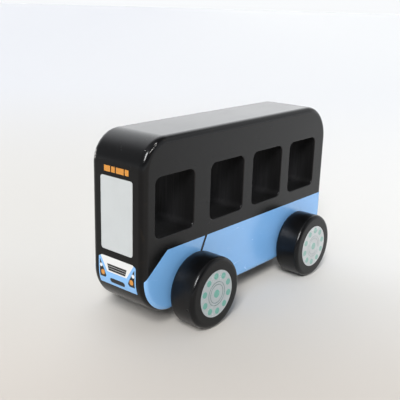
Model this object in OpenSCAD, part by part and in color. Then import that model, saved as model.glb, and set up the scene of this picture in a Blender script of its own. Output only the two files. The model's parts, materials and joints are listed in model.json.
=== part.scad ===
// Wooden toy bus: a body glued up from three boards, with windows cut right through,
// on two turning axles with pressed-on wheels. +X is forward, +Y is the bus's left side,
// +Z is up, and the origin is on the ground under the middle of the body.

/* [Body] */
// Length of the body, front to back
body_length = 165; // [150:1:200]
// Thickness of each of the three boards
board_t = 12; // [10:0.5:16]
// Height of the body from its underside to its roof
body_height = 90.5; // [85:0.5:110]
// Height of the underside above the ground
ground_clearance = 9.5; // [8:0.5:14]
// Corner radius at the front of the roof
front_top_radius = 16; // [12:0.5:20]
// Corner radius under the front
front_bottom_radius = 20.5; // [14:0.5:22]
// Corner radius at the back of the roof
rear_top_radius = 21; // [14:0.5:22]
// Corner radius under the back
rear_bottom_radius = 20.5; // [14:0.5:22]
// Roundover along the outer edges of both side boards
edge_radius = 3.5; // [2:0.5:6]

/* [Windows] */
// Width of each window
window_width = 28.2; // [22:0.2:29]
// Height of each window
window_height = 30.5; // [24:0.5:34]
// Height of the window sills above the ground
window_sill = 50.6; // [48:0.2:56]
// Corner radius of the windows
window_corner = 3.6; // [2:0.2:6]
// Roundover of the window edges on the two outer faces
window_edge = 0.6; // [0.4:0.1:1.5]
// Middle of the driver's window, ahead of the body's middle
driver_window_x = 60.3; // [58:0.1:62]
// Middle of the first passenger window, ahead of the body's middle
passenger_window_x = 18.9; // [17:0.1:21]
// Distance between the passenger windows' middles
window_pitch = 37.1; // [36:0.1:38]

/* [Running gear] */
// Diameter of the wheels
wheel_diameter = 38; // [32:1:42]
// Width of each wheel
wheel_width = 15.6; // [14:0.2:20]
// Rounding of the wheels' edges
wheel_edge = 2.4; // [1:0.2:6]
// Front axle, ahead of the body's middle
front_axle_x = 47; // [42:0.5:50]
// Distance between the axles
wheelbase = 94.5; // [88:0.5:100]
// Gap between a wheel and the side of the body
wheel_gap = 1.6; // [0.9:0.1:2]
// Diameter of the steel axles
axle_diameter = 4; // [3:0.5:6]
// Radial play of the axles in the body
axle_play = 0.06; // [0.02:0.01:0.1]
// Length of axle pressed into each wheel
axle_seat = 12; // [8:0.5:13]
// Play between the washer behind each wheel and the printed side
washer_play = 0.25; // [0.2:0.05:0.4]
// Outer diameter of the washers
washer_diameter = 10; // [7:0.5:14]
// Diameter of the pale disc on each wheel
hub_diameter = 25; // [20:0.2:28]
// Thickness of the pale discs, which lie flush in the wheels
hub_t = 0.3; // [0.2:0.05:0.6]
// Number of wheel nuts drawn on each disc
nut_count = 10; // [6:1:12]

/* [Printed areas] */
// Thickness of the printed layer
print_t = 0.15; // [0.1:0.01:0.3]
// Margin between the livery and the side's outline
livery_margin = 1.3; // [1:0.1:3]
// Height of the livery's top edge above the ground
livery_top = 43.2; // [38:0.1:46]
// Front end of the livery's top edge, ahead of the body's middle
livery_nose_x = 65.5; // [60:0.5:70]
// Height at which the livery's slanted nose meets the front
livery_nose_z = 29.5; // [28:0.1:36]
// Width of the gap behind the front door
door_gap = 1.9; // [0.8:0.1:2]
// Top of the door gap, ahead of the body's middle
door_x = 35.6; // [30:0.1:40]
// Lean of the door gap from upright, in degrees
door_lean = 26; // [0:1:30]
// Width of the windscreen
screen_width = 21.8; // [18:0.2:26]
// Height of the windscreen
screen_height = 37.8; // [34:0.2:39]
// Height of the windscreen's lower edge above the ground
screen_z = 41.7; // [40:0.1:44]
// Width of the front panel
panel_width = 26; // [22:0.2:27]
// Height of the front panel
panel_height = 15.2; // [12:0.2:16]
// Height of the front panel's lower edge above the ground
panel_z = 22.8; // [22:0.1:25]

/* [Hidden] */
$fn = 96;
ENDS = ["front", "rear"];
SIDES = ["left", "right"];
WHEEL_PIECES = ["wheel", "washer", "hub_disc", "hub_print"];
BOARDS = ["left_side_board", "core_board", "right_side_board"];
FRONT_PRINTS = ["windscreen_print", "destination_print", "front_panel_print", "grille_panel_print",
                "grille_print", "bumper_slot_print", "lamp_housing_print", "head_lamp_print",
                "indicator_print"];

body_width = 3 * board_t;
front_x = body_length / 2;
rear_x = -front_x;
floor_z = ground_clearance;
roof_z = floor_z + body_height;
wheel_radius = wheel_diameter / 2;
axle_radius = axle_diameter / 2;
axle_x = [front_axle_x, front_axle_x - wheelbase];
wheel_inner_y = body_width / 2 + wheel_gap;
washer_t = wheel_gap - print_t - washer_play;
through = 2 * body_width;
// How far cutters and skins' cutting shapes run past the surface
overcut = 1;
window_x = concat([driver_window_x], [for (i = [0:2]) passenger_window_x - i * window_pitch]);
window_mid = window_sill + window_height / 2;

// Room around a disc in its recess, round an axle in its washer and in the ink, and past an axle's end
disc_room = 0.1;
washer_room = 0.15;
ink_room = 0.5;
seat_room = 0.3;
axle_chamfer = 0.4;

// The side's rounded corners
BODY_CORNERS = corners(
    [rear_x, floor_z],
    [front_x, roof_z],
    [front_top_radius, rear_top_radius, rear_bottom_radius, front_bottom_radius]
);

// Front print sizes, from the middle line of the front and the ground
screen_corner = 1.4;
panel_top = panel_z + panel_height;
panel_chamfer = [2.2, 1.2];
white_top_half = 11.9;
white_bottom_half = 6.8;
white_bottom = 30;
grille_top_half = 6.9;
grille_bottom_half = 5.9;
grille_bottom = 30.75;
grille_bar_h = 1.08;
grille_bar_pitch = 1.22;
slot = [10.4, 2.5];
slot_z = 25.7;
slot_corner = 1.2;
// Outline of the left lamp housing
HOUSING = [[8.6, 26.2], [12.3, 26.2], [12.3, 35.3], [11.9, 35.3], [8.8, 29.9], [7.7, 27.4]];
// Middle and size of the left head lamp and indicator, and the rounding of their corners by width
head_lamp = [[11.3, 32.3], [1.9, 1.9]];
indicator = [[10.1, 28.7], [2.5, 2.8]];
lamp_rounding = 0.46;
destination_z = 83.1;
destination_bar_h = 2.9;
destination_bars = [4.2, 2.4, 5.2, 2.4];
destination_gap = 0.8;

// Wheel nut and ring sizes on the pale discs
nut_circle = 9.8;
nut_radius = 1.65;
// Angle of the first wheel nut on the front and the rear wheels, up from straight ahead
nut_start = [13, 24];
cap_radius = 2.1;
ring_radii = [6.5, 5.1];
ring_width = 0.25;

black_lacquer = [0.09, 0.09, 0.10];
livery_blue = [0.54, 0.71, 0.89];
pale_grey = [0.83, 0.84, 0.84];
print_white = [0.93, 0.94, 0.95];
print_dark = [0.12, 0.13, 0.15];
amber = [0.91, 0.60, 0.20];
teal = [0.42, 0.68, 0.62];
steel = [0.72, 0.72, 0.74];
nylon = [0.88, 0.87, 0.82];

function toward(angle) = [cos(angle), sin(angle)];
function sum_to(list, n) = n == 0 ? 0 : list[n - 1] + sum_to(list, n - 1);

// Corners of a rounded rectangle, anticlockwise from high x and y: centre, radius, start angle
function corners(low, high, radii) = [
    [[high[0] - radii[0], high[1] - radii[0]], radii[0], 0],
    [[low[0] + radii[1], high[1] - radii[1]], radii[1], 90],
    [[low[0] + radii[2], low[1] + radii[2]], radii[2], 180],
    [[high[0] - radii[3], low[1] + radii[3]], radii[3], 270]
];

function even_corners(middle, size, radius) =
    corners(middle - size / 2, middle + size / 2, [radius, radius, radius, radius]);

// A rounded rectangle, moved inwards by inset
module outline(corner_list, inset = 0) {
    for (c = corner_list)
        translate(c[0])
            circle(c[1] - inset);
    polygon([for (c = corner_list) for (turn = [0, 90]) c[0] + (c[1] - inset) * toward(c[2] + turn)]);
}

// Runs a section, drawn outwards and up, all the way round an outline
module around(corner_list, inset = 0) {
    for (i = [0:3]) {
        c = corner_list[i];
        next = corner_list[(i + 1) % 4];
        side_angle = c[2] + 90;
        from = c[0] + (c[1] - inset) * toward(side_angle);
        to = next[0] + (next[1] - inset) * toward(side_angle);
        translate(c[0])
            rotate(c[2])
                rotate_extrude(angle = 90)
                    translate([c[1] - inset, 0])
                        children();
        translate(to)
            rotate([90, 0, side_angle])
                linear_extrude(norm(to - from))
                    children();
    }
}

// Section of a board's rim, from the start of the roundover outwards
module rim_section(radius, thickness) {
    intersection() {
        square([radius, thickness]);
        union() {
            square([radius, thickness - radius]);
            translate([0, thickness - radius])
                circle(radius);
        }
    }
}

// A side board lying flat with its outer face up; skin makes it thicker all over its outer side
module rounded_board(skin = 0) {
    linear_extrude(board_t + skin)
        outline(BODY_CORNERS, edge_radius);
    around(BODY_CORNERS, edge_radius)
        rim_section(edge_radius + skin, board_t + skin);
}

// Stands a flat board up on the right side of the core; the left side is its mirror image
module stand_right() {
    translate([0, -board_t / 2, 0])
        rotate([90, 0, 0])
            children();
}

module on_side(side) {
    mirror([0, side == "left" ? 1 : 0, 0])
        children();
}

module across(length) {
    rotate([90, 0, 0])
        linear_extrude(length, center = true)
            children();
}

function window_corners(x) = even_corners([x, window_mid], [window_width, window_height], window_corner);

module window_holes() {
    across(through)
        for (x = window_x)
            outline(window_corners(x));
}

// What the roundover of the window edges takes off a board that lies flat with its outer face up
module window_roundovers() {
    for (x = window_x)
        translate([0, 0, board_t - window_edge])
            around(window_corners(x))
                difference() {
                    square([window_edge, window_edge + overcut]);
                    translate([window_edge, 0])
                        circle(window_edge);
                }
}

module axle_circles(room) {
    for (x = axle_x)
        translate([x, wheel_radius])
            circle(axle_radius + room);
}

module axle_holes() {
    across(through)
        axle_circles(axle_play);
}

module side_board(side) {
    color(black_lacquer)
        difference() {
            on_side(side)
                stand_right()
                    difference() {
                        rounded_board();
                        window_roundovers();
                    }
            window_holes();
            axle_holes();
        }
}

module core_board() {
    color(black_lacquer)
        difference() {
            across(board_t)
                outline(BODY_CORNERS);
            window_holes();
            axle_holes();
        }
}

module axle(x) {
    length = body_width + 2 * (wheel_gap + axle_seat);
    color(steel)
        translate([x, length / 2, wheel_radius])
            rotate([90, 0, 0])
                rotate_extrude()
                    polygon([
                        [0, 0],
                        [axle_radius - axle_chamfer, 0],
                        [axle_radius, axle_chamfer],
                        [axle_radius, length - axle_chamfer],
                        [axle_radius - axle_chamfer, length],
                        [0, length]
                    ]);
}

// Puts a piece drawn round the Z axis, outer face up, on an axle at the given side
module at_wheel(x, side) {
    on_side(side)
        translate([x, -wheel_inner_y, wheel_radius])
            rotate([90, 0, 0])
                children();
}

module wheel() {
    color(black_lacquer)
        difference() {
            rotate_extrude()
                intersection() {
                    square([wheel_radius, wheel_width]);
                    outline(even_corners([0, wheel_width / 2], [wheel_diameter, wheel_width], wheel_edge));
                }
            translate([0, 0, -overcut])
                cylinder(r = axle_radius, h = axle_seat + seat_room + overcut);
            translate([0, 0, wheel_width - hub_t])
                cylinder(d = hub_diameter + 2 * disc_room, h = hub_t + overcut);
        }
}

module washer() {
    color(nylon)
        translate([0, 0, -washer_t])
            difference() {
                cylinder(d = washer_diameter, h = washer_t);
                translate([0, 0, -overcut])
                    cylinder(r = axle_radius + washer_room, h = washer_t + 2 * overcut);
            }
}

module hub_disc() {
    color(pale_grey)
        translate([0, 0, wheel_width - hub_t])
            cylinder(d = hub_diameter, h = hub_t);
}

module hub_print(first_nut) {
    color(teal)
        translate([0, 0, wheel_width])
            linear_extrude(print_t) {
                circle(cap_radius);
                for (radius = ring_radii)
                    difference() {
                        circle(radius);
                        circle(radius - ring_width);
                    }
                for (i = [0:nut_count - 1])
                    rotate(first_nut + i * 360 / nut_count)
                        translate([nut_circle, 0])
                            circle(nut_radius);
            }
}

module wheel_piece(piece, end, side) {
    at_wheel(axle_x[end], side)
        if (piece == "wheel") wheel();
        else if (piece == "washer") washer();
        else if (piece == "hub_disc") hub_disc();
        else hub_print(nut_start[end]);
}

// A print on the front, drawn in y and z, that follows the front's curve
module front_print() {
    reach = front_bottom_radius / 3;
    intersection() {
        across(body_width)
            difference() {
                outline(BODY_CORNERS, -print_t);
                outline(BODY_CORNERS);
            }
        translate([front_x - reach, 0, 0])
            rotate([90, 0, 90])
                linear_extrude(reach + overcut)
                    children();
    }
}

module both_halves() {
    children();
    mirror([1, 0])
        children();
}

module windscreen_print() {
    middle = [0, screen_z + screen_height / 2];
    color(pale_grey)
        front_print()
            outline(even_corners(middle, [screen_width, screen_height], screen_corner));
}

module destination_print() {
    count = len(destination_bars);
    total = sum_to(destination_bars, count) + (count - 1) * destination_gap;
    color(amber)
        front_print()
            for (i = [0:count - 1])
                translate([sum_to(destination_bars, i) + i * destination_gap - total / 2, destination_z])
                    translate([0, -destination_bar_h / 2])
                        square([destination_bars[i], destination_bar_h]);
}

module panel_shape() {
    half = panel_width / 2;
    polygon([
        [-half, panel_z],
        [half, panel_z],
        [half, panel_top - panel_chamfer[1]],
        [half - panel_chamfer[0], panel_top],
        [panel_chamfer[0] - half, panel_top],
        [-half, panel_top - panel_chamfer[1]]
    ]);
}

module grille_panel_shape() {
    intersection() {
        panel_shape();
        polygon([
            [-white_bottom_half, white_bottom],
            [white_bottom_half, white_bottom],
            [white_top_half, panel_top],
            [-white_top_half, panel_top]
        ]);
    }
}

module grille_shape() {
    top = grille_bottom + 2 * grille_bar_pitch + grille_bar_h;
    intersection() {
        polygon([
            [-grille_bottom_half, grille_bottom],
            [grille_bottom_half, grille_bottom],
            [grille_top_half, top],
            [-grille_top_half, top]
        ]);
        for (i = [0:2])
            translate([-grille_top_half, grille_bottom + i * grille_bar_pitch])
                square([2 * grille_top_half, grille_bar_h]);
    }
}

module slot_shape() {
    outline(even_corners([0, slot_z], slot, slot_corner));
}

module housing_shape() {
    both_halves()
        polygon(HOUSING);
}

module lamp_shape(lamp) {
    both_halves()
        outline(even_corners(lamp[0], lamp[1], lamp_rounding * lamp[1][0]));
}

// The inks on the front lie side by side in one layer, so each leaves room for the others
module front_panel_print() {
    color(livery_blue)
        front_print()
            difference() {
                panel_shape();
                grille_panel_shape();
                slot_shape();
                housing_shape();
                lamp_shape(head_lamp);
            }
}

module grille_panel_print() {
    color(print_white)
        front_print()
            difference() {
                grille_panel_shape();
                grille_shape();
            }
}

module grille_print() {
    color(print_dark)
        front_print()
            grille_shape();
}

module bumper_slot_print() {
    color(print_dark)
        front_print()
            slot_shape();
}

module lamp_housing_print() {
    color(print_dark)
        front_print()
            difference() {
                housing_shape();
                lamp_shape(head_lamp);
                lamp_shape(indicator);
            }
}

module lamp_print(lamp) {
    front_print()
        lamp_shape(lamp);
}

module livery_outline() {
    tail = rear_x - overcut;
    below = floor_z - overcut;
    difference() {
        intersection() {
            outline(BODY_CORNERS, livery_margin);
            polygon([
                [tail, below],
                [front_x, below],
                [front_x, livery_nose_z],
                [livery_nose_x, livery_top],
                [tail, livery_top]
            ]);
        }
        translate([door_x, livery_top])
            rotate(door_lean)
                translate([-door_gap / 2, -2 * livery_top])
                    square([door_gap, 3 * livery_top]);
        axle_circles(axle_play + ink_room);
    }
}

module livery_print(side) {
    color(livery_blue)
        on_side(side)
            stand_right()
                intersection() {
                    difference() {
                        rounded_board(print_t);
                        rounded_board();
                    }
                    translate([0, 0, board_t - edge_radius])
                        linear_extrude(edge_radius + overcut)
                            livery_outline();
                }
}

for (side = SIDES) {
    side_board(side);
    livery_print(side);
}
core_board();
for (end = [0, 1]) {
    axle(axle_x[end]);
    for (side = SIDES, piece = WHEEL_PIECES)
        wheel_piece(piece, end, side);
}
windscreen_print();
destination_print();
front_panel_print();
grille_panel_print();
grille_print();
bumper_slot_print();
lamp_housing_print();
color(print_white) lamp_print(head_lamp);  // head_lamp_print
color(amber) lamp_print(indicator);  // indicator_print
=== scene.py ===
"""Looks for a wooden toy bus: black lacquer, printed panels, a pale floor, soft light and the camera."""
import json
import math

import bmesh
import bpy
from mathutils import Matrix, Vector


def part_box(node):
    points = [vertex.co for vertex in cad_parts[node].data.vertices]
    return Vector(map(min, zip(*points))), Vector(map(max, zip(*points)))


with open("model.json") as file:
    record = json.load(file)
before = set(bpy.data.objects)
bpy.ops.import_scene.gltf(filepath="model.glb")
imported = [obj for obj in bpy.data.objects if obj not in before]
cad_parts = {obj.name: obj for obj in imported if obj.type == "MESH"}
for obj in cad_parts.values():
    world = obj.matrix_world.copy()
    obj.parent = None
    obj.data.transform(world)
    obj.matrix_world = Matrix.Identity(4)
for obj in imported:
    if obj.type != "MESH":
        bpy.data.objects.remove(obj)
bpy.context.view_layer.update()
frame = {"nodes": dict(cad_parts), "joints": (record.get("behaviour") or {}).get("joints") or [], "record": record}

# Sizes of the toy in millimetres, which the patterns below are laid out on.
MM = 0.001
FRONT_AXLE_X, REAR_AXLE_X = (joint["pos_m"][0] / MM for joint in frame["joints"])
AXLE_Z = frame["joints"][0]["pos_m"][2] / MM
WHEEL_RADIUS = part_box("front_left_wheel")[1].z / MM - AXLE_Z
WINDOW_LOW, WINDOW_HIGH = 50.0, 82.5
WINDOW_END = 76.0
WINDOW_EDGE = 0.5
RINGS_FROM, RINGS_TO = 3.0, 7.3

# Linear colours. The rear tones are painted light: those inks grow paler towards the rear, as if more light fell
# there.
BLACK = (0.0022, 0.0022, 0.0024)
GLOSS_TINT = (0.95, 0.965, 1.0)
BARE_WOOD = (0.11, 0.075, 0.045)
WINDOW_CUT = (0.0115, 0.0115, 0.0125)
# Pale grey of the chips: partly chipped lacquer, partly a painted highlight.
CHIP_AND_GLINT_GREY = (0.42, 0.41, 0.40)
DUST = (0.30, 0.29, 0.27)
LIVERY_BLUE = (0.20, 0.46, 0.845)
LIVERY_BLUE_PAINTED_REAR_LIGHT = (0.23, 0.505, 0.935)
SCREEN_GREY = (0.508, 0.539, 0.555)
WHITE = (0.70, 0.71, 0.72)
INK_BLACK = (0.010, 0.011, 0.013)
AMBER = (0.60, 0.25, 0.036)
HUB_GREY = (0.38, 0.428, 0.452)
HUB_GREY_PAINTED_REAR_LIGHT = (0.524, 0.555, 0.573)
TEAL = (0.115, 0.36, 0.30)
TEAL_PAINTED_REAR_LIGHT = (0.261, 0.4475, 0.405)
RING_GREY = (0.13, 0.20, 0.19)
RING_GREY_PAINTED_REAR_LIGHT = (0.376, 0.4215, 0.431)
STEEL = (0.58, 0.58, 0.60)
NYLON = (0.74, 0.73, 0.68)

# Refractive indices, which set how strongly each finish mirrors.
LACQUER_IOR = 1.4
END_GRAIN_IOR = 1.32
SAWN_IOR = 1.22
WHEEL_IOR = 1.355
INK_IOR = 1.5
DARK_INK_IOR = 1.4
HUB_INK_IOR = 1.9
LIVERY_INK_IOR = 1.95
NYLON_IOR = 1.53


def even(amount):
    """The same amount along x, y and z."""
    return (amount,) * 3


def tint(colour, share):
    """A colour made lighter or darker by a share."""
    return tuple(min(part * share, 1.0) for part in colour)


class Value:
    """One output of a node. Arithmetic on it adds Math nodes to the same finish."""

    def __init__(self, finish, socket):
        self.finish = finish
        self.socket = socket

    def maths(self, operation, first, second=0.0):
        return self.finish.node("ShaderNodeMath", {"operation": operation}, {0: first, 1: second})

    def __add__(self, other):
        return self.maths("ADD", self, other)

    def __sub__(self, other):
        return self.maths("SUBTRACT", self, other)

    def __rsub__(self, other):
        return self.maths("SUBTRACT", other, self)

    def __mul__(self, other):
        return self.maths("MULTIPLY", self, other)

    def __truediv__(self, other):
        return self.maths("DIVIDE", self, other)

    def __rtruediv__(self, other):
        return self.maths("DIVIDE", other, self)

    def __abs__(self):
        return self.maths("ABSOLUTE", self)

    __radd__ = __add__
    __rmul__ = __mul__

    def larger(self, other):
        return self.maths("MAXIMUM", self, other)

    def smaller(self, other):
        return self.maths("MINIMUM", self, other)

    def over(self, limit):
        return self.maths("GREATER_THAN", self, limit)


class Finish:
    """The node tree of one finish, with patterns that follow the place on the toy in millimetres."""

    def __init__(self, owner):
        owner.use_nodes = True
        self.owner = owner
        self.tree = owner.node_tree
        self.tree.nodes.clear()

    def node(self, kind, settings=None, sockets=None, output=0):
        made = self.tree.nodes.new(kind)
        for name, setting in (settings or {}).items():
            setattr(made, name, setting)
        for key, value in (sockets or {}).items():
            self.put(made.inputs[key], value)
        return Value(self, made.outputs[output]) if made.outputs else made

    def put(self, socket, value):
        if isinstance(value, Value):
            self.tree.links.new(value.socket, socket)
        elif socket.type == "RGBA":
            socket.default_value = (*value, 1.0)
        else:
            socket.default_value = value

    def axes(self, vector):
        """The three numbers of a vector."""
        split = self.node("ShaderNodeSeparateXYZ", None, {0: vector})
        return [Value(self, out) for out in split.socket.node.outputs]

    def vector(self, x, y, z):
        return self.node("ShaderNodeCombineXYZ", None, {0: x, 1: y, 2: z})

    def scaled(self, vector, scale):
        return self.node("ShaderNodeVectorMath", {"operation": "MULTIPLY"}, {0: vector, 1: scale})

    def along(self, vector, direction):
        return self.node("ShaderNodeVectorMath", {"operation": "DOT_PRODUCT"},
                         {0: vector, 1: direction}, output="Value")

    def distance(self, vector, point):
        return self.node("ShaderNodeVectorMath", {"operation": "DISTANCE"},
                         {0: vector, 1: point}, output="Value")

    def place(self):
        """The place on the toy at rest, in millimetres."""
        spot = self.node("ShaderNodeTexCoord", output="Object")
        return self.scaled(spot, even(1 / MM))

    def facing(self):
        """The direction that the surface faces on the toy at rest."""
        return self.axes(self.node("ShaderNodeTexCoord", output="Normal"))

    def noise(self, vector, waves, detail, roughness=0.5):
        return self.node("ShaderNodeTexNoise", None, {
            "Vector": self.scaled(vector, waves), "Scale": 1.0, "Detail": detail, "Roughness": roughness})

    def cells(self, vector, waves, output="Distance"):
        return self.node("ShaderNodeTexVoronoi", None, {
            "Vector": self.scaled(vector, waves), "Scale": 1.0}, output=output)

    def smooth(self, value, start, end, low=0.0, high=1.0):
        return self.node("ShaderNodeMapRange", {"interpolation_type": "SMOOTHSTEP"},
                         {0: value, 1: start, 2: end, 3: low, 4: high})

    def mix(self, factor, first, second):
        """One colour to another."""
        return self.node("ShaderNodeMix", {"data_type": "RGBA"}, {0: factor, 6: first, 7: second}, output=2)

    def layers(self, colour, *laid):
        """A colour with others laid over it. Each layer says where, how strongly and in which colour."""
        for where, strength, over in laid:
            colour = self.mix(where * strength, colour, over)
        return colour

    def relief(self, height):
        """A surface relief from a height in millimetres."""
        return self.node("ShaderNodeBump", None, {
            "Strength": 1.0, "Distance": MM, "Height": height}, output="Normal")

    def coating(self, **sockets):
        named = {key.replace("_", " "): value for key, value in sockets.items()}
        return self.node("ShaderNodeBsdfPrincipled", None, named)

    def blend(self, share, first, second):
        """One coating passing into another."""
        return self.node("ShaderNodeMixShader", None, {0: share, 1: first, 2: second})

    def done(self, coating):
        self.node("ShaderNodeOutputMaterial", None, {"Surface": coating})
        return self.owner

    def surface(self, **sockets):
        return self.done(self.coating(**sockets))


def new_finish(name):
    return Finish(bpy.data.materials.new(name))


# Noise lies round this value.
MID_NOISE = 0.5
# Scratches are smooth noise, broken by noise of finer waves, between these values of it.
SCRATCH_DETAIL = 1.0
RUNS_PER_WAVE = 2.3
RUN_ENDS = (0.56, 0.64)
# The share of a speck's, dent's or scrape's radius that is its full middle.
SPECK_MIDDLE, DENT_MIDDLE, SCRAPE_MIDDLE = 0.4, 0.45, 0.4


def specks(finish, place, size, share, radius):
    """Scattered round specks: 1 on a speck, for a share of the cells of this size."""
    waves = even(1 / size)
    chosen = finish.axes(finish.cells(place, waves, "Color"))[0].over(1 - share)
    away = finish.cells(place, waves)
    return chosen * finish.smooth(away, radius / size, SPECK_MIDDLE * radius / size)


def hairlines(finish, place, waves, width):
    """Thin wandering scratches, broken into short runs."""
    wander = finish.noise(place, waves, SCRATCH_DETAIL)
    runs = finish.noise(place, tuple(RUNS_PER_WAVE * part for part in waves), SCRATCH_DETAIL)
    return finish.smooth(abs(wander - MID_NOISE), width, 0.0) * finish.smooth(runs, *RUN_ENDS)


def dent_at(finish, place, ragged, point, radius):
    """1 in the middle of a dent, 0 outside its ragged edge."""
    away = finish.distance(place, point) + (ragged - MID_NOISE) * radius
    return finish.smooth(away, radius, DENT_MIDDLE * radius)


def scrape_along(finish, place, start, end, radius):
    """1 along the middle of a straight scrape, 0 beside it."""
    way = Vector(end) - Vector(start)
    share = finish.along(place, way / way.length_squared) - Vector(start).dot(way) / way.length_squared
    share = share.larger(0.0).smaller(1.0)
    nearest = finish.vector(*(first + share * step for first, step in zip(start, way)))
    return finish.smooth(finish.distance(place, nearest), radius, SCRAPE_MIDDLE * radius)


def from_axle(finish, place):
    """The distance from the middle of the nearest axle."""
    x, _, z = finish.axes(place)
    level_with_axles = finish.vector(x, 0.0, z)
    front, rear = (finish.distance(level_with_axles, (axle_x, 0.0, AXLE_Z))
                   for axle_x in (FRONT_AXLE_X, REAR_AXLE_X))
    return front.smaller(rear)


# Patterns, here and below: waves per millimetre along x, y and z, detail and, where it isn't a half,
# roughness. This one makes the ragged edge of every dent.
RAGGED_EDGE = (even(1.6), 2.0)

# Chips in the lacquer at the two front top corners, whose pale grey is partly a painted highlight: place and
# radius.
BODY_CHIPS_AND_GLINTS = (
    ((74.1, 17.1, 96.7), 0.75),
    ((73.3, 16.8, 97.5), 0.5),
    ((78.4, 15.1, 94.6), 0.35),
    ((80.9, -16.1, 89.9), 1.4),
    ((81.4, -15.9, 88.9), 1.1),
    ((81.8, -15.7, 88.0), 1.3),
    ((82.1, -15.4, 87.1), 0.95),
)
# A scrape from the left corner up to its chips, pale like them and partly a painted highlight: both ends and half
# its width.
BODY_SCRAPE = ((78.0, 17.0, 93.6), (74.9, 17.3, 95.9), 0.24)

BODY_PEEL = (even(0.8), 3.0)
BOARD_GRAIN = ((0.06, 1.4, 1.4), 4.0, 0.6)
CUT_STREAKS = ((1.1, 1.1, 0.05), 3.0, 0.65)
SAW_MARKS = ((2.6, 2.6, 0.2), 3.0)
HAND_SMEARS = ((0.03, 0.04, 0.04), 3.0, 0.55)
RUBBED_SPOTS = (even(0.35), 3.0)
# Scratches: waves per millimetre along x, y and z, and their width as a step of the noise.
BODY_SCRATCHES = ((0.05, 0.11, 0.16), 0.0022)
# Specks: the size of their cells, the share of cells that hold one, and their radius.
ROOF_LINT = (3.4, 0.22, 0.16)
WINDOW_GRIT = (1.9, 0.25, 0.26)

# How far a face turns along or away from an axis where a pattern starts and where it is full.
OFF_SIDE = (0.5, 0.3)
ONTO_END_GRAIN = (0.55, 0.9)
ONTO_ROOF = (0.75, 0.95)
ONTO_SILL = (0.6, 0.9)

BODY_SATIN = 0.215
SAWN_ROUGHNESS = 0.62
# The window faces are fully sprayed, and have the least painted light, this far from the toy's middle; towards it
# the cut wood shows and painted light makes them lighter.
OUTER_DEPTH_TONE = 14.0
# The brightest that streaks, thin spray and painted light together make the cut wood, as a share of its colour.
BRIGHTEST_CUT = 4.0


def body_lacquer():
    """Black satin lacquer sprayed over glued boards, duller on their end grain, with cut windows."""
    coat = new_finish("black_body_lacquer")
    place = coat.place()
    x, y, z = coat.axes(place)
    nx, ny, nz = coat.facing()
    flat_side = ny * ny
    roundover = 4.0 * flat_side * (1.0 - flat_side)

    in_window = (coat.smooth(abs(ny), *OFF_SIDE)
                 * coat.smooth(abs(x), WINDOW_END + WINDOW_EDGE, WINDOW_END)
                 * coat.smooth(z, WINDOW_LOW - WINDOW_EDGE, WINDOW_LOW)
                 * coat.smooth(z, WINDOW_HIGH + WINDOW_EDGE, WINDOW_HIGH))

    peel = coat.noise(place, *BODY_PEEL)
    grain = coat.noise(place, *BOARD_GRAIN)
    streaks = coat.noise(place, *CUT_STREAKS)
    saw_cut = coat.noise(place, *SAW_MARKS)
    smears = coat.noise(place, *HAND_SMEARS)
    ragged = coat.noise(place, *RAGGED_EDGE)
    scratches = hairlines(coat, place, *BODY_SCRATCHES)
    rubbed = roundover * coat.smooth(coat.noise(place, *RUBBED_SPOTS), 0.56, 0.70)

    chips_and_glints = scrape_along(coat, place, *BODY_SCRAPE)
    chips_and_glints = chips_and_glints + sum(dent_at(coat, place, ragged, *chip) for chip in BODY_CHIPS_AND_GLINTS)
    chips_and_glints = chips_and_glints.smaller(1.0)

    lint = specks(coat, place, *ROOF_LINT) * coat.smooth(nz, *ONTO_ROOF)
    grit = specks(coat, place, *WINDOW_GRIT) * in_window * coat.smooth(nz, *ONTO_SILL)

    colour = coat.mix(coat.smooth(grain, 0.35, 0.7), tint(BLACK, 0.85), tint(BLACK, 1.25))
    colour = coat.layers(colour,
                         (rubbed, 0.35, tint(BARE_WOOD, 0.2)),
                         (scratches, 0.5, tint(BLACK, 6.0)),
                         (lint, 0.25, DUST),
                         # Pale chips: partly chipped lacquer, partly a painted highlight.
                         (chips_and_glints * coat.smooth(ragged, 0.38, 0.55), 1.0, CHIP_AND_GLINT_GREY))
    # What each pattern adds to the roughness, and to the relief in millimetres.
    roughness = (BODY_SATIN + 0.02 * coat.smooth(smears, 0.4, 0.7) + 0.02 * peel - 0.10 * roundover
                 + 0.12 * scratches + 0.3 * lint - 0.03 * rubbed)
    relief = coat.relief(0.003 * peel + 0.002 * grain - 0.15 * chips_and_glints - 0.004 * scratches)
    side_coat, end_coat = (coat.coating(Base_Color=colour, Roughness=roughness, IOR=ior,
                                        Specular_Tint=GLOSS_TINT, Normal=relief)
                           for ior in (LACQUER_IOR, END_GRAIN_IOR))
    sprayed = coat.blend(coat.smooth(abs(nx), *ONTO_END_GRAIN), side_coat, end_coat)

    # Partly thinner spray and partly painted light: the cut faces are lighter deep inside the window, where shade
    # falls, and darker towards the face.
    spray_and_painted_light = coat.smooth(abs(y), OUTER_DEPTH_TONE, 0.0, 0.4, 1.9)
    # Painted shade: the sills, which face up, are darker.
    painted_sill_shade = coat.smooth(nz, 0.3, 0.9, 1.0, 0.7)
    cut_tone = coat.smooth(streaks, 0.35, 0.72, 0.75, 1.35) * spray_and_painted_light * painted_sill_shade
    cut_face = coat.mix(cut_tone / BRIGHTEST_CUT, even(0.0), tint(WINDOW_CUT, BRIGHTEST_CUT))
    cut_face = coat.layers(cut_face, (grit, 0.35, DUST))
    sawn = coat.coating(Base_Color=cut_face, Roughness=SAWN_ROUGHNESS + 0.2 * saw_cut, IOR=SAWN_IOR,
                        Normal=coat.relief(0.025 * saw_cut + 0.02 * streaks + 0.06 * grit))
    return coat.done(coat.blend(in_window, sprayed, sawn))


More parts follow.
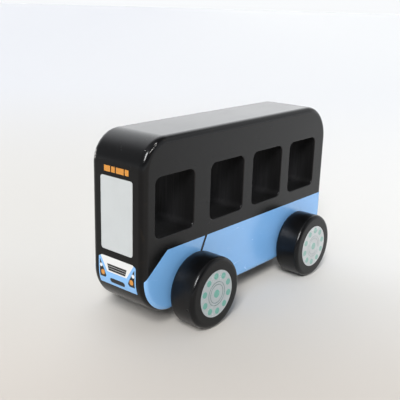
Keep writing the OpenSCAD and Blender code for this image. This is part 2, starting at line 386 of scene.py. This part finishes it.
TURNING_MARKS = (even(1.5), 3.0, 0.6)
WHEEL_PEEL = (even(0.7), 3.0)
TREAD_WEAR = ((0.16, 0.35, 0.16), 4.0, 0.6)
FINE_WEAR = (even(2.2), 3.0, 0.7)
WHEEL_SCRATCHES = ((0.10, 0.05, 0.10), 0.003)
TREAD_GRIT = (2.2, 0.30, 0.22)
# A nick in the front left wheel's edge: place and radius.
WHEEL_NICK = ((65.6, 31.9, 15.2), 0.8)
# The tread starts and is full this far inside the wheel's radius.
TREAD_START, TREAD_FULL = 0.35, 0.02
WHEEL_GLOSS = 0.16


def wheel_lacquer():
    """Glossier black lacquer on turned wheels, scuffed where they roll."""
    coat = new_finish("black_wheel_lacquer")
    place = coat.place()
    across = coat.axes(place)[1]
    radius = from_axle(coat, place)
    turned = coat.noise(coat.vector(radius, across, 0.0), *TURNING_MARKS)
    peel = coat.noise(place, *WHEEL_PEEL)
    tread = coat.smooth(radius, WHEEL_RADIUS - TREAD_START, WHEEL_RADIUS - TREAD_FULL)
    worn = coat.smooth(coat.noise(place, *TREAD_WEAR), 0.45, 0.75) * tread
    fine = coat.noise(place, *FINE_WEAR)
    scratches = hairlines(coat, place, *WHEEL_SCRATCHES)
    grit = specks(coat, place, *TREAD_GRIT) * tread
    nick = dent_at(coat, place, coat.noise(place, *RAGGED_EDGE), *WHEEL_NICK)

    colour = coat.mix(coat.smooth(turned, 0.35, 0.7), tint(BLACK, 0.9), tint(BLACK, 1.4))
    colour = coat.layers(colour,
                         (worn * fine, 0.03, tint(DUST, 0.35)),
                         (scratches, 0.3, tint(BLACK, 4.0)),
                         (grit, 0.05, DUST))
    roughness = WHEEL_GLOSS + 0.03 * peel + 0.14 * tread + 0.02 * worn + 0.05 * scratches + 0.05 * grit
    height = 0.0006 * turned + 0.001 * peel - 0.0004 * worn * fine - 0.001 * scratches - 0.3 * nick
    return coat.surface(Base_Color=colour, Roughness=roughness, IOR=WHEEL_IOR,
                        Specular_Tint=GLOSS_TINT, Normal=coat.relief(height))


INK_CLOUDS = ((0.07, 0.09, 0.09), 3.0, 0.55)
INK_GRAIN = (even(2.4), 3.0, 0.65)
INK_PEEL = (even(0.8), 2.0)
INK_SCRATCHES = ((0.05, 0.11, 0.15), 0.0025)
PINHOLES = (2.6, 0.09, 0.11)
# The painted rear light starts this far in front of the front axle and is full this far behind the rear one.
PAST_AXLE = 15


def print_film(name, ink, rear_ink_painted_light=None, satin=0.34, unevenness=0.04, ior=INK_IOR, rings=False):
    """A printed area: slightly uneven ink with fine grain, pinholes and hairline scratches."""
    film = new_finish(name)
    place = film.place()
    painted_rear_light = film.smooth(film.axes(place)[0], FRONT_AXLE_X + PAST_AXLE, REAR_AXLE_X - PAST_AXLE)
    cloud = film.noise(place, *INK_CLOUDS)
    grain = film.noise(place, *INK_GRAIN)
    peel = film.noise(place, *INK_PEEL)
    scratches = hairlines(film, place, *INK_SCRATCHES)
    pinholes = specks(film, place, *PINHOLES)

    # Painted light: with a rear ink, the print grows paler towards the rear.
    tones = (film.mix(painted_rear_light, tint(ink, share), tint(rear_ink_painted_light or ink, share))
             for share in (1 - unevenness, 1 + unevenness))
    uneven = film.smooth(0.65 * cloud + 0.35 * grain, 0.36, 0.64)
    colour = film.mix(uneven, *tones)
    if rings:
        radius = from_axle(film, place)
        on_ring = radius.over(RINGS_FROM) * (1.0 - radius.over(RINGS_TO))
        # Painted light: the rings also grow paler towards the rear.
        colour = film.mix(on_ring, colour, film.mix(painted_rear_light, RING_GREY, RING_GREY_PAINTED_REAR_LIGHT))
    colour = film.layers(colour, (scratches, 0.06, tint(WHITE, 0.8)), (pinholes, 0.45, BLACK))
    roughness = satin + 0.06 * cloud + 0.03 * grain + 0.08 * scratches
    height = 0.003 * peel + 0.001 * grain - 0.002 * pinholes - 0.001 * scratches
    return film.surface(Base_Color=colour, Roughness=roughness, IOR=ior, Normal=film.relief(height))


DRAWN_LINES = ((3.0, 0.06, 3.0), 4.0, 0.7)
STEEL_STAINS = ((0.3, 0.2, 0.3), 3.0)
STEEL_ROUGHNESS = 0.26


def axle_steel():
    """Drawn steel with fine lines along the axle."""
    metal = new_finish("drawn_axle_steel")
    place = metal.place()
    lines = metal.noise(place, *DRAWN_LINES)
    stain = metal.noise(place, *STEEL_STAINS)
    colour = metal.mix(metal.smooth(stain, 0.45, 0.75), STEEL, tint(STEEL, 0.72))
    return metal.surface(Base_Color=colour, Metallic=1.0, Roughness=STEEL_ROUGHNESS + 0.14 * lines,
                         Normal=metal.relief(0.01 * lines))


NYLON_CLOUDS = (even(0.4), 3.0)
NYLON_RUB = ((1.6, 0.2, 1.6), 3.0)
NYLON_ROUGHNESS = 0.42


def washer_nylon():
    """Natural nylon, slightly cloudy and greyed by rubbing."""
    plastic = new_finish("washer_nylon")
    place = plastic.place()
    cloud = plastic.noise(place, *NYLON_CLOUDS)
    rub = plastic.noise(place, *NYLON_RUB)
    colour = plastic.mix(plastic.smooth(cloud, 0.4, 0.7), NYLON, tint(NYLON, 0.86))
    return plastic.surface(Base_Color=colour, Roughness=NYLON_ROUGHNESS + 0.14 * rub, IOR=NYLON_IOR,
                           Normal=plastic.relief(0.01 * rub))


FINISHES = {
    "body_lacquer": body_lacquer(),
    "wheel_lacquer": wheel_lacquer(),
    "axle_steel": axle_steel(),
    "washer_nylon": washer_nylon(),
    "hub_pale": print_film("pale_hub_print", HUB_GREY, HUB_GREY_PAINTED_REAR_LIGHT, satin=0.22, ior=HUB_INK_IOR),
    "hub_teal": print_film("teal_hub_print", TEAL, TEAL_PAINTED_REAR_LIGHT, satin=0.22, ior=HUB_INK_IOR, rings=True),
    "screen_pale": print_film("pale_windscreen_print", SCREEN_GREY, unevenness=0.02),
    "livery_blue": print_film("blue_livery_print", LIVERY_BLUE, LIVERY_BLUE_PAINTED_REAR_LIGHT, satin=0.20,
                              unevenness=0.015, ior=LIVERY_INK_IOR),
    "print_white": print_film("white_print", WHITE, unevenness=0.03),
    "print_dark": print_film("dark_print", INK_BLACK, ior=DARK_INK_IOR),
    "print_amber": print_film("amber_print", AMBER),
}


def finish_toy():
    """Gives each CAD node the finish of its slot in the record."""
    for part in frame["record"]["subparts"]:
        for slot in frame["nodes"][part["node"]].material_slots:
            slot.material = FINISHES[part["material_slot"]]


# The photo's viewing angle: angles in degrees, sizes in millimetres, focal length in pixels of 400.
CAMERA_YAW, CAMERA_PITCH, CAMERA_ROLL = 39.416, 16.811, -1.695
CAMERA_TARGET = Vector((19.667, 0.0, 55.108))
CAMERA_DISTANCE = 373.309
FOCAL_PIXELS, IMAGE_PIXELS, SENSOR_WIDTH = 676.022, 400, 36.0
# How near and how far the camera sees, in metres.
NEAREST_SEEN, FARTHEST_SEEN = 0.01, 100.0


def direction(azimuth, elevation):
    """The unit vector at an azimuth from +X towards +Y and an elevation, both in degrees."""
    turn, rise = math.radians(azimuth), math.radians(elevation)
    return Vector((math.cos(turn) * math.cos(rise), math.sin(turn) * math.cos(rise), math.sin(rise)))


def place_camera():
    """The camera that took the photo, as fitted to it."""
    data = bpy.data.cameras.new("photo_camera")
    data.sensor_width = SENSOR_WIDTH
    data.lens = FOCAL_PIXELS / IMAGE_PIXELS * SENSOR_WIDTH
    data.clip_start = NEAREST_SEEN
    data.clip_end = FARTHEST_SEEN
    camera = bpy.data.objects.new("photo_camera", data)
    bpy.context.scene.collection.objects.link(camera)
    back = direction(CAMERA_YAW, CAMERA_PITCH)
    level = Vector((0, 0, 1)).cross(back).normalized()
    upright = back.cross(level)
    roll = math.radians(CAMERA_ROLL)
    right = math.cos(roll) * level - math.sin(roll) * upright
    up = math.sin(roll) * level + math.cos(roll) * upright
    turned = Matrix((right, up, back)).transposed().to_4x4()
    eye = (CAMERA_TARGET + CAMERA_DISTANCE * back) * MM
    camera.matrix_world = Matrix.Translation(eye) @ turned
    bpy.context.scene.camera = camera


# The floor: its radius in metres, its number of sides and its linear colours, which paint light and shade on it.
FLOOR_RADIUS = 9.0
FLOOR_SIDES = 128
PAINTED_SHADE_FLOOR_NEAR = (0.56, 0.52, 0.48)
FLOOR_MIDDLE = (0.635, 0.625, 0.605)
PAINTED_LIGHT_FLOOR_RIGHT = (0.715, 0.715, 0.71)
FLOOR_FAR_LEFT = (0.64, 0.655, 0.695)
FLOOR_FAR_RIGHT = (0.698, 0.712, 0.732)
PAINTED_LIGHT_FLOOR_OUTSIDE = (0.76, 0.76, 0.755)
# Where one floor colour passes into the next, in millimetres to the camera's right or away from it.
MIDDLE_TO_RIGHT = (-150.0, 200.0)
RIGHT_TO_OUTSIDE = (150.0, 450.0)
FAR_LEFT_TO_RIGHT = (-800.0, 800.0)
NEAR_TO_BEHIND_CAMERA = (-250.0, -3000.0)
NEAR_TO_MIDDLE = (-190.0, 60.0)
MIDDLE_TO_FAR = (60.0, 900.0)
PAPER_FIBRES = (even(0.5), 3.0)
PAPER_ROUGHNESS = 0.75


def lay_floor():
    """A large pale sheet with painted light and shade: darker and warmer in front of the toy, paler beside and
    behind it.
    """
    mesh = bpy.data.meshes.new("pale_floor")
    shape = bmesh.new()
    bmesh.ops.create_circle(shape, cap_ends=True, segments=FLOOR_SIDES, radius=FLOOR_RADIUS)
    shape.to_mesh(mesh)
    shape.free()
    floor = bpy.data.objects.new("pale_floor", mesh)
    bpy.context.scene.collection.objects.link(floor)
    paper = new_finish("pale_floor_paper")
    place = paper.place()
    behind = paper.along(place, -direction(CAMERA_YAW, 0.0))
    aside = paper.along(place, direction(CAMERA_YAW + 90, 0.0))
    fibres = paper.noise(place, *PAPER_FIBRES)
    middle = paper.mix(paper.smooth(aside, *MIDDLE_TO_RIGHT), FLOOR_MIDDLE, PAINTED_LIGHT_FLOOR_RIGHT)
    middle = paper.mix(paper.smooth(aside, *RIGHT_TO_OUTSIDE), middle, PAINTED_LIGHT_FLOOR_OUTSIDE)
    near = paper.mix(paper.smooth(behind, *NEAR_TO_BEHIND_CAMERA), PAINTED_SHADE_FLOOR_NEAR, PAINTED_LIGHT_FLOOR_RIGHT)
    far = paper.mix(paper.smooth(aside, *FAR_LEFT_TO_RIGHT), FLOOR_FAR_LEFT, FLOOR_FAR_RIGHT)
    colour = paper.mix(paper.smooth(behind, *NEAR_TO_MIDDLE), near, middle)
    colour = paper.mix(paper.smooth(behind, *MIDDLE_TO_FAR), colour, far)
    mesh.materials.append(paper.surface(Base_Color=colour, Roughness=PAPER_ROUGHNESS + 0.1 * fibres,
                                        Specular_IOR_Level=0.1, Normal=paper.relief(0.02 * fibres)))


# The tall soft box over the camera: angles in degrees, the blur of its edges as a share, its brightness.
KEY_AZIMUTH, KEY_ELEVATION = 31.0, 39.5
KEY_WIDTH, KEY_HEIGHT = 14.0, 25.0
KEY_SIDE_BLUR, KEY_END_BLUR = 0.15, 0.05
KEY_LEVEL = 29.0
KEY_COLOUR = (1.0, 0.985, 0.96)

# The studio round the toy. Each pale part has a middle (azimuth and elevation in degrees), the cosines
# of the angles from it at which it starts and is full, and a brightness.
STUDIO_LEVEL = 0.22
STUDIO_COLOUR = (0.97, 0.985, 1.0)
CEILING = (25, 66, 0.72, 0.93, 0.27)
REAR_WALL = (158, 5, 0.40, 0.85, 1.0)
FRONT_WALL = (-28, 30, 0.60, 0.90, 0.30)
STUDIO_WINDOW = (-121, 24, 0.58, 0.95, 1.65)
# Bands of the studio: the sines of the elevations at which each starts and is full, and its brightness.
REAR_WALL_HIGH, REAR_WALL_LOW = (0.80, 0.55, 0.55), (0.25, 0.05, 0.45)
HORIZON = (0.24, 0.06, 0.86)
BACKDROP, BACKDROP_LEVEL = (0.13, 0.04), 0.98


def set_light():
    """A tall soft box over the camera, in a studio that is dim round the camera and pale behind the toy."""
    studio = Finish(bpy.data.worlds.new("pale_studio"))
    bpy.context.scene.world = studio.owner
    toward = studio.node("ShaderNodeTexCoord", output="Generated")
    up = studio.axes(toward)[2]

    def glow(azimuth, elevation, start, full, brightness):
        towards_middle = studio.along(toward, direction(azimuth, elevation))
        return brightness * studio.smooth(towards_middle, start, full)

    def band(start, full, brightness):
        return brightness * studio.smooth(up, start, full)

    rear_wall = glow(*REAR_WALL) * (band(*REAR_WALL_HIGH) + band(*REAR_WALL_LOW))
    level = STUDIO_LEVEL + glow(*CEILING) + rear_wall + glow(*FRONT_WALL) + glow(*STUDIO_WINDOW)
    level = level.larger(band(*HORIZON))
    backdrop = studio.smooth(up, *BACKDROP)
    level = level * (1.0 - backdrop) + BACKDROP_LEVEL * backdrop

    across = abs(studio.along(toward, direction(KEY_AZIMUTH + 90, 0)))
    along = abs(studio.along(toward, direction(KEY_AZIMUTH, KEY_ELEVATION + 90)))
    ahead = studio.along(toward, direction(KEY_AZIMUTH, KEY_ELEVATION)).over(0.0)

    def within(offset, size, blur):
        half = math.sin(math.radians(size / 2))
        return studio.smooth(offset, (1 + blur) * half, (1 - blur) * half)

    soft_box = within(across, KEY_WIDTH, KEY_SIDE_BLUR) * within(along, KEY_HEIGHT, KEY_END_BLUR) * ahead
    sky = studio.node("ShaderNodeBackground", None, {
        "Color": studio.mix(soft_box, STUDIO_COLOUR, KEY_COLOUR), "Strength": level + KEY_LEVEL * soft_box})
    studio.node("ShaderNodeOutputWorld", None, {"Surface": sky})


bpy.context.scene.view_settings.view_transform = "Standard"
finish_toy()
lay_floor()
set_light()
place_camera()
